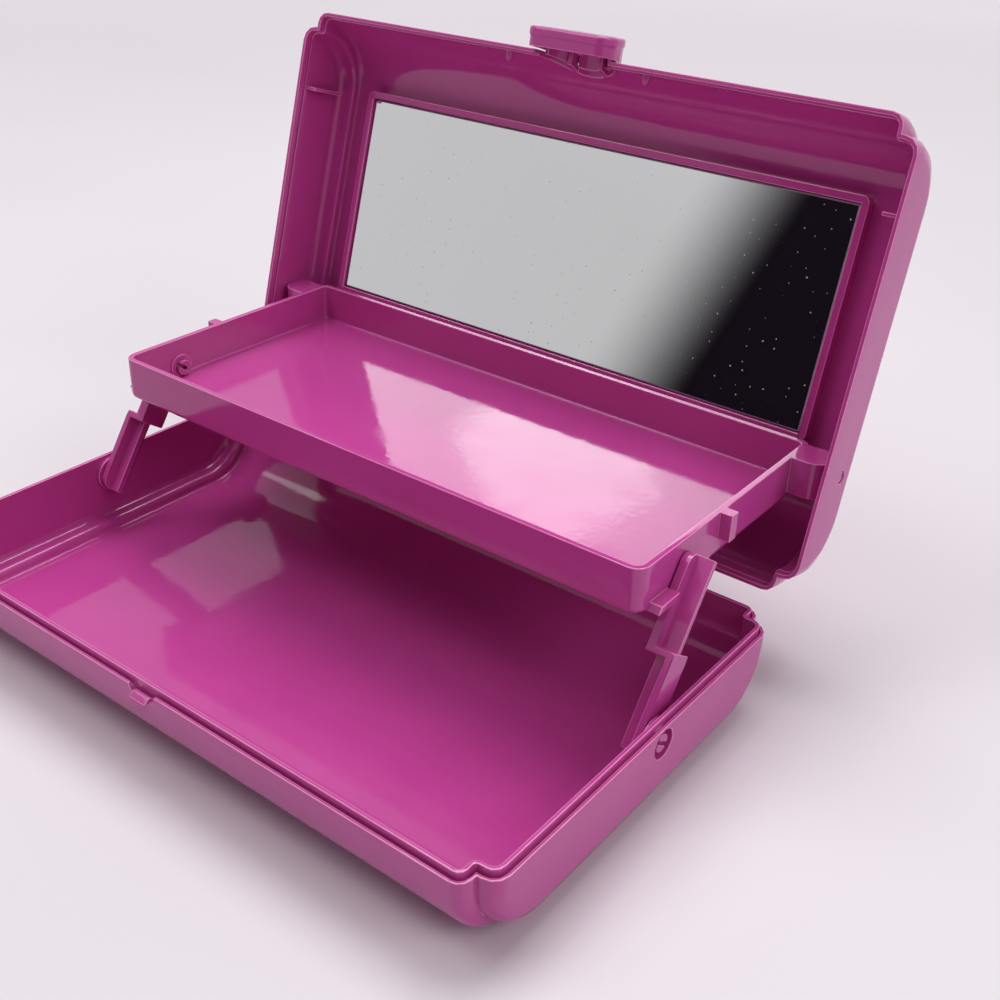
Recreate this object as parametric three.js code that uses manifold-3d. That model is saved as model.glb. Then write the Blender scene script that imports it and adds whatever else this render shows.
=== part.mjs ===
// Makeup organizer case: a clamshell box with a mirror in its lid, a front latch, and a tray on two
// support arms that rises and moves back as the lid opens.
// Millimetres, +Z up, +X along the long side, lid hinge at the rear (+Y). The origin is on the table
// under the middle of the base, and the case stands open.

import * as THREE from 'three';
import { mergeVertices } from 'three/addons/utils/BufferGeometryUtils.js';
import Module from 'manifold-3d';

const wasm = await Module();
wasm.setup();

// Overall shells
const CASE_LENGTH = 235;          // end panel to end panel
const CASE_DEPTH = 142.6;         // front wall to rear wall
const BASE_DEPTH = 27;            // underside to the shoulder where the halves part
const LID_DEPTH = 27.5;           // rim to crown
const CROWN_RADIUS = 24;          // large round along the front and rear edges
const END_STEP = 6;               // how far each end panel stands out past the main body
const END_INSET = 5.5;            // how far an end panel lies inside the main front and rear walls
const END_LIFT = 3.5;             // how far an end panel lies inside the main underside or crown
const END_RADIUS = 19;            // large round of an end panel
const CORNER_RADIUS = 5;          // round over the edges of the end panels
const STEP_RADIUS = 4;            // round over the ends of the main body
const STEP_LAND = 0.1;            // flat between the two rounds of a step inside
const BASE_WALL = 2.8;
const LID_WALL = 2;

// Rim of the base and of the lid
const SHOULDER_WIDTH = 1;         // outer land that meets the lid
const GROOVE_WIDTH = 0.6;         // groove between the shoulder and the tongue
const GROOVE_DEPTH = 1.2;
const TONGUE_HEIGHT = 2;
const TONGUE_GAP = 0.3;           // side play between the tongue and the lid's rim
const PARTING_GAP = 0.3;          // gap between the shut halves
const LEDGE_CLEARANCE = 0.6;      // room above the tongue inside the lid

// Rear hinges
const OPEN_ANGLE = THREE.MathUtils.degToRad(105.8);
const HINGE_SETBACK = 4.5;        // axis behind the rear wall
const HINGE_DROP = 0.6;           // axis below the shoulder
const HINGE_FROM_END = 55.5;      // middle of each hinge from the end of the case
const HINGE_LENGTH = 30;
const LID_KNUCKLE_LENGTH = 14;
const KNUCKLE_RADIUS = 3.6;
const KNUCKLE_GAP = 0.4;
const HINGE_PIN_RADIUS = 1.5;
const HINGE_PIN_CLEARANCE = 0.3;
const HINGE_PIN_INSET = 1;        // pin end inside the outer knuckle's face
const HEEL_RADIUS = 3;            // round at the foot of the hinge brackets
const LID_BRACKET_RISE = 8;       // height of the lid's knuckle bracket on the rear wall

// Tray, with its pivot in the lid's end walls
const TRAY_END_GAP = 11.6;        // tray's side to the lid's end wall, where the arms run
const TRAY_FRONT_GAP = 11;        // tray's front to the lid's front wall when shut
const TRAY_MIRROR_GAP = 2.3;      // tray's top edge to the mirror frame when shut
const TRAY_HEIGHT = 14.8;
const TRAY_WALL = 1.8;
const TRAY_FLOOR = 1.6;
const TRAY_FRONT_RADIUS = 4.5;    // upright corners at the front
const TRAY_REAR_RADIUS = 2.5;     // upright corners at the rear
const TRAY_FLOOR_RADIUS = 2.2;    // round along the underside
const TRAY_PIVOT_REAR = 37.9;     // pivot in front of the lid's rear wall
const TRAY_PIVOT_SETBACK = 5.7;   // tray's rear wall behind the pivot
const TRAY_PIVOT_DROP = 5.2;      // pivot below the tray's top edge
const EAR_FRONT = 7.5;            // ear in front of the pivot
const EAR_REAR = 4;               // ear behind the pivot
const EAR_HEIGHT = 12;
const EAR_ROUND = 6;
const EAR_GAP = 0.5;              // ear to the lid's end wall
const STUB_RADIUS = 1.7;
const STUB_CLEARANCE = 0.3;
const STUB_RECESS = 0.3;          // stub end inside the lid's outer face

// Rib and stop block on each side of the tray
const RIB_BEHIND_FRONT = 40.9;
const RIB_HEIGHT = 8.6;
const RIB_REACH = 3.8;
const RIB_THICKNESS = 3.6;
const STOP_LENGTH = 9;
const STOP_HEIGHT = 2.2;
const STOP_RISE = 0.8;            // block above the tray's underside
const STOP_REACH = 4;
const STOP_GAP = 0.3;             // stop block to the front edge of the raised arm

// Support arms
const ARM_PIVOT_BACK = 6.5;       // pivot behind the middle of the base
const ARM_PIVOT_DROP = 5.4;       // pivot below the shoulder
const ARM_WIDTH = 10;
const ARM_LOWER_WALL = 2.1;       // thickness beside the base
const ARM_UPPER_WALL = 2.6;       // thickness beside the tray
const ARM_STEP = 2.2;             // thickness of the step between the two
const ARM_FIN = 1.8;              // thickness of the fin along each half
const ARM_FIN_SETBACK = 3.6;      // fin behind the arm's front edge
const ARM_LOWER_FIN = 4;          // reach of the lower fin
const ARM_UPPER_FIN = 5.4;        // reach of the upper fin
const ARM_OVERHANG = 5.4;         // arm past each pivot
const ARM_END_RADIUS = 3.6;       // front corner at each end
const ARM_CORNER_RADIUS = 0.5;    // other corners
const ARM_GAP = 0.4;              // arm to the tray and to the base's bosses
const ARM_JOG = 0.5;              // where along the arm it steps outwards
const PIN_RADIUS = 2.3;
const PIN_CLEARANCE = 0.3;
const PIN_HEAD_RADIUS = 2.75;
const PIN_HEAD_LENGTH = 1.5;
const PIN_SLOT = 1.2;
const PIVOT_RECESS_RADIUS = 4.5;
const PIVOT_RECESS_DEPTH = 2.3;
const PIVOT_BOSS_RADIUS = 6.4;
const PIVOT_BOSS_HEIGHT = 1.5;
const TRAY_BOSS_RADIUS = 4.4;
const TRAY_BOSS_HEIGHT = 0.8;

// Mirror
const MIRROR_THICKNESS = 2;
const MIRROR_END_MARGIN = 18;     // mirror's ends inside the lid's end walls
const MIRROR_REAR_MARGIN = 45.4;  // mirror's lower edge in front of the lid's rear wall
const MIRROR_FRONT_MARGIN = 26.2; // mirror's upper edge behind the lid's front wall
const MIRROR_GAP = 0.3;
const FRAME_WIDTH = 2.5;
const FRAME_PROUD = 1.1;          // frame stands past the face of the glass
const TAPE_MARGIN = 12.5;         // tape inside the edges of the glass
const TAPE_THICKNESS = 0.8;

// Fins and nubs inside the lid
const FIN_BEHIND_FRONT = 26.5;
const FIN_REACH = 4.5;
const FIN_THICKNESS = 1.2;
const FIN_START = 3.2;            // fin's edge above the rim
const FIN_HEIGHT = 15;
const NUB_SPACING = 53.2;
const NUB_ABOVE_RIM = 3.8;
const NUB_RADIUS = 1.5;
const NUB_REACH = 3.4;

// Latch
const LATCH_WIDTH = 32.6;
const LATCH_REACH = 8.1;          // face in front of the front wall at the pin
const LATCH_LIP = 3.1;            // thickness of the plate's edge
const LATCH_LIP_STEP = 0.4;       // plate's edge outside the skirt
const LATCH_PLATE = 1.6;
const LATCH_WALL = 1.3;           // skirt
const LATCH_CORNER = 5;           // lower corners
const LATCH_GAP = 0.5;            // skirt to the front walls
const LATCH_EDGE_ROUND = 0.9;
const LATCH_TILT = THREE.MathUtils.degToRad(6);     // face leans in towards its lower edge
const LATCH_SWING = THREE.MathUtils.degToRad(7);    // how far it swings out
const CUTOUT_MARGIN = 0.2;        // cut-out inside the skirt
const CURTAIN_MARGIN = 1;         // inner arch inside the cut-out
const CURTAIN_RISE = 3.5;         // inner arch above the rim
const LATCH_PIN_RADIUS = 1;
const LATCH_PIN_CLEARANCE = 0.3;
const LATCH_PIN_RISE = 10.4;      // pin above the rim
const LATCH_PIN_REACH = 2.7;      // pin in front of the front wall
const LUG_RADIUS = 1.9;
const LUG_THICKNESS = 1.6;
const LUG_GAP = 0.6;              // lug to the skirt and to the cheek
const INLAY_MARGIN = 3.2;
const INLAY_THICKNESS = 0.6;
const INLAY_GAP = 0.3;
const INLAY_PROUD = 0.1;
const CATCH_WIDTH = 6.3;
const CATCH_REACH = 1.7;
const CATCH_BELOW = 1.3;          // catch's top below the shoulder
const CATCH_SLOPE = 1.3;          // fall of its sloping top
const CATCH_FACE = 0.4;           // upright face under the slope
const HOOK_GAP = 0.7;             // latch's lower edge under the catch
const NOTCH_WIDTH = 12.4;
const NOTCH_SLANT = 1.9;
const NOTCH_DEPTH = 2.4;

// Fineness of the rounds
const CROWN_STEPS = 10;
const ROUND_STEPS = 3;
const SMALL_STEPS = 3;
const ARCH_STEPS = 7;
const ROD_SIDES = 24;
const SINK = 0.8;                 // depth to which a feature runs into the wall that carries it

// Derived places
const HALF_LENGTH = CASE_LENGTH / 2;
const HALF_DEPTH = CASE_DEPTH / 2;
const MAIN_HALF = HALF_LENGTH - END_STEP;
const RIM_Z = BASE_DEPTH + PARTING_GAP;
const CROWN_Z = RIM_Z + LID_DEPTH;
const TONGUE_OUT = SHOULDER_WIDTH + GROOVE_WIDTH;
const LID_RIM_WALL = TONGUE_OUT - TONGUE_GAP;
const BASE_INNER_X = HALF_LENGTH - BASE_WALL;
const LID_INNER_X = HALF_LENGTH - LID_WALL;
const HINGE = new THREE.Vector3(0, HALF_DEPTH + HINGE_SETBACK, BASE_DEPTH - HINGE_DROP);
const ARM_PIVOT = new THREE.Vector3(0, ARM_PIVOT_BACK, BASE_DEPTH - ARM_PIVOT_DROP);
const HINGE_CENTRE = HALF_LENGTH - HINGE_FROM_END;
const MIRROR_HALF = LID_INNER_X - MIRROR_END_MARGIN;
const MIRROR_HEIGHT = CASE_DEPTH - MIRROR_REAR_MARGIN - MIRROR_FRONT_MARGIN;
const MIRROR_CENTRE = HALF_DEPTH - MIRROR_REAR_MARGIN - MIRROR_HEIGHT / 2;
const TAPE_TOP = CROWN_Z - LID_WALL - MIRROR_GAP;
const GLASS_BACK = TAPE_TOP - TAPE_THICKNESS - MIRROR_GAP;
const GLASS_FACE = GLASS_BACK - MIRROR_THICKNESS;
const FRAME_EDGE = GLASS_FACE - FRAME_PROUD;
const SHUT_PIVOT_Z = FRAME_EDGE - TRAY_MIRROR_GAP - TRAY_PIVOT_DROP;
const SHUT_TRAY_PIVOT = new THREE.Vector3(0, HALF_DEPTH - TRAY_PIVOT_REAR, SHUT_PIVOT_Z);
const SHUT_LINK = SHUT_TRAY_PIVOT.clone().sub(HINGE);
const X_AXIS = new THREE.Vector3(1, 0, 0);
const OPEN_LINK = SHUT_LINK.clone().applyAxisAngle(X_AXIS, -OPEN_ANGLE);
const TRAY_PIVOT = HINGE.clone().add(OPEN_LINK);
const ARM_TOP_PIVOT = ARM_PIVOT.clone().add(OPEN_LINK);
const ARM_LENGTH = OPEN_LINK.length();
const ARM_ANGLE = Math.atan2(OPEN_LINK.z, OPEN_LINK.y);
const TRAY_HALF = LID_INNER_X - TRAY_END_GAP;
const TRAY_DEPTH = CASE_DEPTH - LID_WALL - TRAY_FRONT_GAP - TRAY_PIVOT_REAR + TRAY_PIVOT_SETBACK;
const TRAY_TOP = TRAY_PIVOT.z + TRAY_PIVOT_DROP;
const TRAY_BOTTOM = TRAY_TOP - TRAY_HEIGHT;
const TRAY_REAR = TRAY_PIVOT.y + TRAY_PIVOT_SETBACK;
const TRAY_FRONT = TRAY_REAR - TRAY_DEPTH;
const CATCH_TOP = BASE_DEPTH - CATCH_BELOW;
const CATCH_FOOT = CATCH_TOP - CATCH_SLOPE - CATCH_FACE;
const LATCH_PIN = new THREE.Vector3(0, -HALF_DEPTH - LATCH_PIN_REACH, RIM_Z + LATCH_PIN_RISE);
const LATCH_FACE = -HALF_DEPTH - LATCH_REACH;
const LATCH_LOW = CATCH_FOOT - HOOK_GAP - LATCH_WALL;
const SKIRT_INNER = LATCH_WIDTH / 2 - LATCH_LIP_STEP - LATCH_WALL;
const CUTOUT_RADIUS = SKIRT_INNER - CUTOUT_MARGIN;
const LUG_OUTER = Math.sqrt((SKIRT_INNER - LUG_GAP) ** 2 - (LATCH_PIN_RISE + LUG_RADIUS) ** 2);
const LUG_INNER = LUG_OUTER - LUG_THICKNESS;
const CHEEK_OUTER = LUG_INNER - LUG_GAP;

const Y_AXIS = new THREE.Vector3(0, 1, 0);
const Z_AXIS = new THREE.Vector3(0, 0, 1);
const DRAWN_IN_YZ = new THREE.Matrix4().makeBasis(Y_AXIS, Z_AXIS, X_AXIS);
const DRAWN_IN_XZ = new THREE.Matrix4().makeBasis(X_AXIS, Z_AXIS, Y_AXIS.clone().negate());

// Turns a closed geometry into a solid that can be joined and cut.
function solid(geometry) {
  geometry.deleteAttribute('normal');
  geometry.deleteAttribute('uv');
  const merged = mergeVertices(geometry, 1e-4);
  const corners = merged.index.array;
  const kept = [];
  for (let i = 0; i < corners.length; i += 3) {
    const [a, b, c] = [corners[i], corners[i + 1], corners[i + 2]];
    if (a !== b && b !== c && c !== a) {
      kept.push(a, b, c);
    }
  }
  return new wasm.Manifold(new wasm.Mesh({
    numProp: 3,
    vertProperties: new Float32Array(merged.attributes.position.array),
    triVerts: new Uint32Array(kept),
  }));
}

// Makes a named mesh from a solid.
function mesh(name, body, material) {
  const { vertProperties, triVerts } = body.getMesh();
  const geometry = new THREE.BufferGeometry();
  geometry.setAttribute('position', new THREE.BufferAttribute(vertProperties, 3));
  geometry.setIndex(new THREE.BufferAttribute(triVerts, 1));
  geometry.computeVertexNormals();
  const result = new THREE.Mesh(geometry, material);
  result.name = name;
  return result;
}

// Extrudes an outline to a length, with its end edges rounded over.
function extruded(outline, length, round, steps) {
  const options = {
    depth: length - 2 * round,
    bevelEnabled: round > 0,
    bevelThickness: round,
    bevelSize: round,
    bevelOffset: -round,
    bevelSegments: ROUND_STEPS,
    curveSegments: steps,
  };
  return new THREE.ExtrudeGeometry(outline, options).translate(0, 0, round);
}

// An outline in (y, z), extruded along X.
function alongX(outline, from, to) {
  const geometry = extruded(outline, to - from, 0, SMALL_STEPS).applyMatrix4(DRAWN_IN_YZ);
  return solid(geometry.translate(from, 0, 0));
}

// An outline in (x, z), extruded along Y.
function alongY(outline, from, to, round = 0, steps = SMALL_STEPS) {
  const geometry = extruded(outline, to - from, round, steps).applyMatrix4(DRAWN_IN_XZ);
  return solid(geometry.translate(0, to, 0));
}

// An outline in (x, y), extruded along Z.
function alongZ(outline, from, to, round = 0, steps = SMALL_STEPS) {
  return solid(extruded(outline, to - from, round, steps).translate(0, 0, from));
}

function block(low, high) {
  const size = high.map((value, axis) => value - low[axis]);
  const middle = high.map((value, axis) => (value + low[axis]) / 2);
  return solid(new THREE.BoxGeometry(...size).translate(...middle));
}

function rodX(radius, from, to, y, z, sides = ROD_SIDES) {
  const rod = new THREE.CylinderGeometry(radius, radius, to - from, sides).rotateZ(Math.PI / 2);
  return solid(rod.translate((from + to) / 2, y, z));
}

function polygon(points) {
  return new THREE.Shape(points.map(([u, v]) => new THREE.Vector2(u, v)));
}

// A rectangle with rounded corners, of which any may have a radius of its own.
function roundedBox(left, low, right, high, radius, own = {}) {
  const { lowLeft = radius, lowRight = radius, highRight = radius, highLeft = radius } = own;
  const outline = new THREE.Shape();
  outline.moveTo(left + lowLeft, low);
  outline.lineTo(right - lowRight, low);
  outline.absarc(right - lowRight, low + lowRight, lowRight, -Math.PI / 2, 0);
  outline.lineTo(right, high - highRight);
  outline.absarc(right - highRight, high - highRight, highRight, 0, Math.PI / 2);
  outline.lineTo(left + highLeft, high);
  outline.absarc(left + highLeft, high - highLeft, highLeft, Math.PI / 2, Math.PI);
  outline.lineTo(left, low + lowLeft);
  outline.absarc(left + lowLeft, low + lowLeft, lowLeft, Math.PI, 1.5 * Math.PI);
  return outline;
}

// A level layer of everything between two heights.
function layer(from, to) {
  return block([-CASE_LENGTH, -CASE_DEPTH, from], [CASE_LENGTH, CASE_DEPTH, to]);
}

function bothSides(body) {
  return body.add(body.mirror([1, 0, 0]));
}

// Points of a shell's cross-section in (y, z): upright walls that turn into a flat underside.
function tubProfile(halfDepth, underside, top, radius) {
  const round = (centre, start) => Array.from({ length: CROWN_STEPS + 1 }, (_, i) => {
    const angle = start + (i / CROWN_STEPS) * Math.PI / 2;
    return [centre + radius * Math.cos(angle), underside + radius + radius * Math.sin(angle)];
  });
  const left = round(radius - halfDepth, Math.PI);
  const right = round(halfDepth - radius, 1.5 * Math.PI);
  return [[-halfDepth, top], ...left, ...right, [halfDepth, top]];
}

// A body along +X through a row of stations, each an X and the points of the cross-section there.
function lofted(stations) {
  const count = stations[0][1].length;
  const places = stations.flatMap(([x, points]) => points.flatMap(([y, z]) => [x, y, z]));
  const triangles = [];
  for (let ring = 0; ring + 1 < stations.length; ring += 1) {
    for (let i = 0; i < count; i += 1) {
      const a = ring * count + i;
      const b = ring * count + (i + 1) % count;
      triangles.push(a, b, b + count, a, b + count, a + count);
    }
  }
  const outline = stations[0][1].map(([y, z]) => new THREE.Vector2(y, z));
  const last = (stations.length - 1) * count;
  THREE.ShapeUtils.triangulateShape(outline, []).forEach(([a, b, c]) => {
    triangles.push(a, c, b, last + a, last + b, last + c);
  });
  const geometry = new THREE.BufferGeometry();
  geometry.setAttribute('position', new THREE.Float32BufferAttribute(places, 3));
  return solid(geometry.setIndex(triangles));
}

// Stations from an end of a body, each an X and how far the cross-section is drawn in there by a round.
// A round below zero lets it out in a flare.
function endStations(end, direction, round) {
  return Array.from({ length: ROUND_STEPS + 1 }, (_, i) => {
    const angle = (i / ROUND_STEPS) * Math.PI / 2;
    return [end + direction * Math.abs(round) * (1 - Math.cos(angle)), round * (1 - Math.sin(angle))];
  });
}

// The pillow form of a shell, drawn in by an inset all over: a main body with an end panel at each end.
// It stands past the rim, where it is cut flat. An inner form is rounded where the panels meet the body.
function pillow(depth, inset) {
  const top = depth + 2 * CORNER_RADIUS;
  const middle = ([x, drawn]) => {
    const all = inset + drawn;
    return [x, tubProfile(HALF_DEPTH - all, all, top, CROWN_RADIUS - all)];
  };
  const panel = ([x, drawn]) => {
    const all = inset + drawn;
    return [x, tubProfile(HALF_DEPTH - END_INSET - all, END_LIFT + all, top, END_RADIUS - all)];
  };
  const step = STEP_RADIUS - inset;
  const roll = END_LIFT - STEP_LAND - step;
  const middleEnd = MAIN_HALF - inset;
  const left = endStations(-middleEnd, 1, step);
  const right = endStations(middleEnd, -1, step).reverse();
  const mouth = roll > 0
    ? [[middleEnd - STEP_LAND, -roll], ...endStations(middleEnd, 1, -roll)]
    : [[middleEnd - 2 * STEP_RADIUS, 0]];
  const panelEnd = endStations(HALF_LENGTH - inset, -1, CORNER_RADIUS - inset).reverse();
  return lofted([...left, ...right].map(middle))
    .add(bothSides(lofted([...mouth, ...panelEnd].map(panel))));
}

// The same form turned over, with its open side on the lid's rim.
function lidPillow(inset) {
  return pillow(LID_DEPTH, inset).rotate([180, 0, 0]).translate([0, 0, CROWN_Z]);
}

// Stretches of the base's knuckles on the right hinge, as pairs of X.
function baseKnuckles() {
  const start = HINGE_CENTRE - HINGE_LENGTH / 2;
  const end = HINGE_CENTRE + HINGE_LENGTH / 2;
  const gapStart = HINGE_CENTRE - LID_KNUCKLE_LENGTH / 2 - KNUCKLE_GAP;
  const gapEnd = HINGE_CENTRE + LID_KNUCKLE_LENGTH / 2 + KNUCKLE_GAP;
  return [[start, gapStart], [gapEnd, end]];
}

// The bore through the knuckles of the right hinge.
function hingeBore() {
  const start = HINGE_CENTRE - HINGE_LENGTH;
  const end = HINGE_CENTRE + HINGE_LENGTH;
  return rodX(HINGE_PIN_RADIUS + HINGE_PIN_CLEARANCE, start, end, HINGE.y, HINGE.z);
}

// A knuckle plate behind the base: a ring round the hinge axis on a heel that stands on the table.
function hingeHeel([from, to]) {
  const back = HINGE.y + KNUCKLE_RADIUS;
  const outline = new THREE.Shape();
  outline.moveTo(HALF_DEPTH - CROWN_RADIUS, 0);
  outline.lineTo(back - HEEL_RADIUS, 0);
  outline.absarc(back - HEEL_RADIUS, HEEL_RADIUS, HEEL_RADIUS, -Math.PI / 2, 0);
  outline.lineTo(back, HINGE.z);
  outline.absarc(HINGE.y, HINGE.z, KNUCKLE_RADIUS, 0, Math.PI);
  outline.lineTo(HINGE.y - KNUCKLE_RADIUS, HINGE.z - KNUCKLE_RADIUS);
  outline.lineTo(HALF_DEPTH - SINK, HINGE.z - KNUCKLE_RADIUS);
  outline.lineTo(HALF_DEPTH - CROWN_RADIUS, CROWN_RADIUS / 2);
  return alongX(outline, from, to);
}

// The wedge at the front that the latch hooks under, with a sloping top that it rides over.
function latchCatch() {
  const front = -HALF_DEPTH - CATCH_REACH;
  const root = -HALF_DEPTH + SINK;
  const outline = polygon([
    [root, CATCH_FOOT],
    [root, CATCH_TOP],
    [-HALF_DEPTH, CATCH_TOP],
    [front, CATCH_TOP - CATCH_SLOPE],
    [front, CATCH_FOOT],
  ]);
  return alongX(outline, -CATCH_WIDTH / 2, CATCH_WIDTH / 2);
}

// The notch that bares the catch in the shoulder.
function shoulderNotch() {
  const low = BASE_DEPTH - NOTCH_DEPTH;
  const high = BASE_DEPTH + TONGUE_HEIGHT;
  const half = NOTCH_WIDTH / 2;
  const foot = half - NOTCH_SLANT;
  const outline = polygon([[-foot, low], [foot, low], [half, high], [-half, high]]);
  return alongY(outline, -HALF_DEPTH - CATCH_REACH, -HALF_DEPTH + TONGUE_OUT);
}

function baseShell(material) {
  const outside = pillow(BASE_DEPTH, 0).intersect(layer(-BASE_DEPTH, BASE_DEPTH));
  const tongueForm = pillow(BASE_DEPTH, TONGUE_OUT);
  const tongueTop = BASE_DEPTH + TONGUE_HEIGHT;
  const tongue = tongueForm.intersect(layer(0, tongueTop));
  const groove = pillow(BASE_DEPTH, SHOULDER_WIDTH)
    .subtract(tongueForm)
    .intersect(layer(BASE_DEPTH - GROOVE_DEPTH, tongueTop));
  const heels = baseKnuckles().map(hingeHeel).reduce((all, heel) => all.add(heel));
  const cavity = pillow(BASE_DEPTH, BASE_WALL);
  const { y, z } = ARM_PIVOT;
  const boss = rodX(PIVOT_BOSS_RADIUS, BASE_INNER_X - PIVOT_BOSS_HEIGHT, BASE_INNER_X + SINK, y, z);
  const bore = rodX(PIN_RADIUS + PIN_CLEARANCE, BASE_INNER_X - BASE_WALL, HALF_LENGTH, y, z);
  const recess = rodX(PIVOT_RECESS_RADIUS, HALF_LENGTH - PIVOT_RECESS_DEPTH, HALF_LENGTH + BASE_WALL, y, z);
  const body = outside
    .add(tongue)
    .subtract(groove)
    .subtract(shoulderNotch())
    .add(latchCatch())
    .add(bothSides(heels.subtract(hingeBore())))
    .subtract(cavity)
    .add(bothSides(boss))
    .subtract(bothSides(bore.add(recess)));
  return mesh('base_shell', body, material);
}

// The lid's knuckle on the right hinge, with the bracket that runs up its rear wall.
function lidKnuckle() {
  const from = HINGE_CENTRE - LID_KNUCKLE_LENGTH / 2;
  const to = HINGE_CENTRE + LID_KNUCKLE_LENGTH / 2;
  const wall = HALF_DEPTH - SINK;
  const top = HINGE.z + LID_BRACKET_RISE;
  const outline = new THREE.Shape();
  outline.moveTo(wall, RIM_Z + KNUCKLE_GAP);
  outline.lineTo(HINGE.y - KNUCKLE_RADIUS, RIM_Z + KNUCKLE_GAP);
  outline.lineTo(HINGE.y - KNUCKLE_RADIUS, HINGE.z);
  outline.absarc(HINGE.y, HINGE.z, KNUCKLE_RADIUS, Math.PI, 2 * Math.PI);
  outline.lineTo(HINGE.y + KNUCKLE_RADIUS, HINGE.z + KNUCKLE_RADIUS / 2);
  outline.lineTo(HALF_DEPTH, top);
  outline.lineTo(wall, top);
  return alongX(outline, from, to);
}

// A rod along Y round the middle of the latch's arch.
function archRod(radius, from, to) {
  const circle = new THREE.Shape().absarc(0, RIM_Z, radius, 0, 2 * Math.PI);
  return alongY(circle, from, to, 0, 2 * ARCH_STEPS);
}

// The arched opening behind the latch, with two tabs left at its top to carry the lugs.
function latchCutout() {
  const front = -HALF_DEPTH - LATCH_REACH;
  const rear = -HALF_DEPTH + CROWN_RADIUS / 2;
  const tab = block(
    [LUG_INNER, front - SINK, LATCH_PIN.z - LUG_RADIUS],
    [LUG_OUTER, rear + SINK, RIM_Z + CUTOUT_RADIUS],
  );
  return archRod(CUTOUT_RADIUS, front, rear).subtract(bothSides(tab));
}

// The bore for the latch pin through the lugs and the cheeks.
function latchBore() {
  const end = LUG_OUTER + SINK;
  return rodX(LATCH_PIN_RADIUS + LATCH_PIN_CLEARANCE, -end, end, LATCH_PIN.y, LATCH_PIN.z);
}

// A lug on a tab of the cut-out that holds one end of the latch pin.
function latchLug() {
  const lug = rodX(LUG_RADIUS, LUG_INNER, LUG_OUTER, LATCH_PIN.y, LATCH_PIN.z);
  const root = block(
    [LUG_INNER, LATCH_PIN.y, LATCH_PIN.z - LUG_RADIUS],
    [LUG_OUTER, -HALF_DEPTH + 2 * LID_WALL, LATCH_PIN.z + LUG_RADIUS],
  );
  return lug.add(root);
}

// The raised frame that the mirror lies in.
function mirrorFrame() {
  const side = MIRROR_HALF + MIRROR_GAP;
  const rise = MIRROR_HEIGHT / 2 + MIRROR_GAP;
  const outer = roundedBox(-side - FRAME_WIDTH, MIRROR_CENTRE - rise - FRAME_WIDTH,
    side + FRAME_WIDTH, MIRROR_CENTRE + rise + FRAME_WIDTH, FRAME_WIDTH);
  const floor = CROWN_Z - LID_WALL;
  const opening = block(
    [-side, MIRROR_CENTRE - rise, FRAME_EDGE - SINK],
    [side, MIRROR_CENTRE + rise, floor],
  );
  return alongZ(outer, FRAME_EDGE, floor + SINK).subtract(opening);
}

// A small bump on the inside of the lid's front wall.
function frontNub() {
  const inner = -HALF_DEPTH + LID_WALL;
  const nub = new THREE.SphereGeometry(NUB_RADIUS, 12, 8).scale(1, NUB_REACH / NUB_RADIUS, 1);
  const inside = block([0, inner - SINK, RIM_Z], [HALF_LENGTH, inner + CROWN_RADIUS, CROWN_Z]);
  return solid(nub.translate(NUB_SPACING / 2, inner, RIM_Z + NUB_ABOVE_RIM)).intersect(inside);
}

function lidShell(material) {
  const cavity = lidPillow(LID_WALL);
  const ledgeTop = RIM_Z + TONGUE_HEIGHT - PARTING_GAP + LEDGE_CLEARANCE;
  const ledge = lidPillow(LID_RIM_WALL).intersect(layer(0, ledgeTop));
  const knuckle = lidKnuckle().subtract(hingeBore());
  const finFront = -HALF_DEPTH + FIN_BEHIND_FRONT;
  const fin = block(
    [LID_INNER_X - FIN_REACH, finFront, RIM_Z + FIN_START],
    [LID_INNER_X + SINK, finFront + FIN_THICKNESS, RIM_Z + FIN_START + FIN_HEIGHT],
  );
  const { y, z } = SHUT_TRAY_PIVOT;
  const pivotBore = rodX(STUB_RADIUS + STUB_CLEARANCE, LID_INNER_X - SINK, HALF_LENGTH + SINK, y, z);
  const body = lidPillow(0)
    .intersect(layer(RIM_Z, CROWN_Z + LID_DEPTH))
    .add(bothSides(knuckle))
    .subtract(cavity)
    .subtract(ledge)
    .subtract(latchCutout())
    .add(bothSides(latchLug()).subtract(cavity).subtract(latchBore()))
    .add(mirrorFrame())
    .add(bothSides(fin))
    .add(bothSides(frontNub()))
    .subtract(bothSides(pivotBore));
  return mesh('lid_shell', body, material);
}

function mirrorGlass(material) {
  const rise = MIRROR_HEIGHT / 2;
  const body = block(
    [-MIRROR_HALF, MIRROR_CENTRE - rise, GLASS_FACE],
    [MIRROR_HALF, MIRROR_CENTRE + rise, GLASS_BACK],
  );
  return mesh('mirror_glass', body, material);
}

function mirrorAdhesive(material) {
  const half = MIRROR_HALF - TAPE_MARGIN;
  const rise = MIRROR_HEIGHT / 2 - TAPE_MARGIN;
  const outline = roundedBox(-half, MIRROR_CENTRE - rise, half, MIRROR_CENTRE + rise, FRAME_WIDTH);
  return mesh('mirror_adhesive', alongZ(outline, TAPE_TOP - TAPE_THICKNESS, TAPE_TOP), material);
}

// A straight pin along X with a slot across the arm and a wider snap head at its far end.
function splitPin(root, shoulder, y, z) {
  const tip = shoulder + PIN_HEAD_LENGTH;
  const shank = rodX(PIN_RADIUS, root, tip, y, z);
  const head = rodX(PIN_HEAD_RADIUS, shoulder, tip, y, z);
  const slot = block(
    [shoulder - PIN_HEAD_LENGTH, y - PIN_SLOT / 2, z - PIN_HEAD_RADIUS],
    [tip + SINK, y + PIN_SLOT / 2, z + PIN_HEAD_RADIUS],
  );
  return shank.add(head).subtract(slot);
}

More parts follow.
